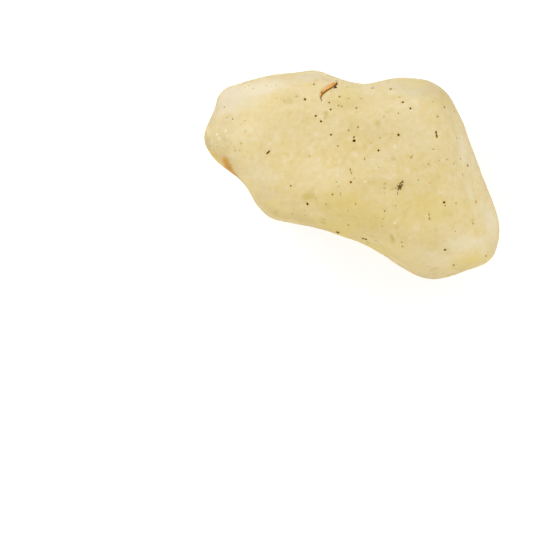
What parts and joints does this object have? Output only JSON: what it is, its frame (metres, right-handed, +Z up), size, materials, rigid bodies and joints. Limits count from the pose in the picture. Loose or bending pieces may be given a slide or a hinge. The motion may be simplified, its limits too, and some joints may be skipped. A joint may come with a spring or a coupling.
{
  "type": "raw desert glass",
  "caption": "Wind-worn lump of pale honey-yellow natural glass, frosted and see-through, lying on a flat worn into its underside.",
  "frame": {"origin": "on the surface that the stone rests on, under the middle of its box", "axes": "+X along the stone's length, towards its broad lobe; +Y across it, towards the side with the gouge; +Z up"},
  "size_m": [0.034, 0.024, 0.0129],
  "materials": {
    "desert_glass": "frosted by blown sand, translucent pale honey yellow, with dark grains, pale bruises and a rusty stain"
  },
  "bodies": {
    "root": {"desert_glass": "desert_glass"}
  },
  "joints": []
}
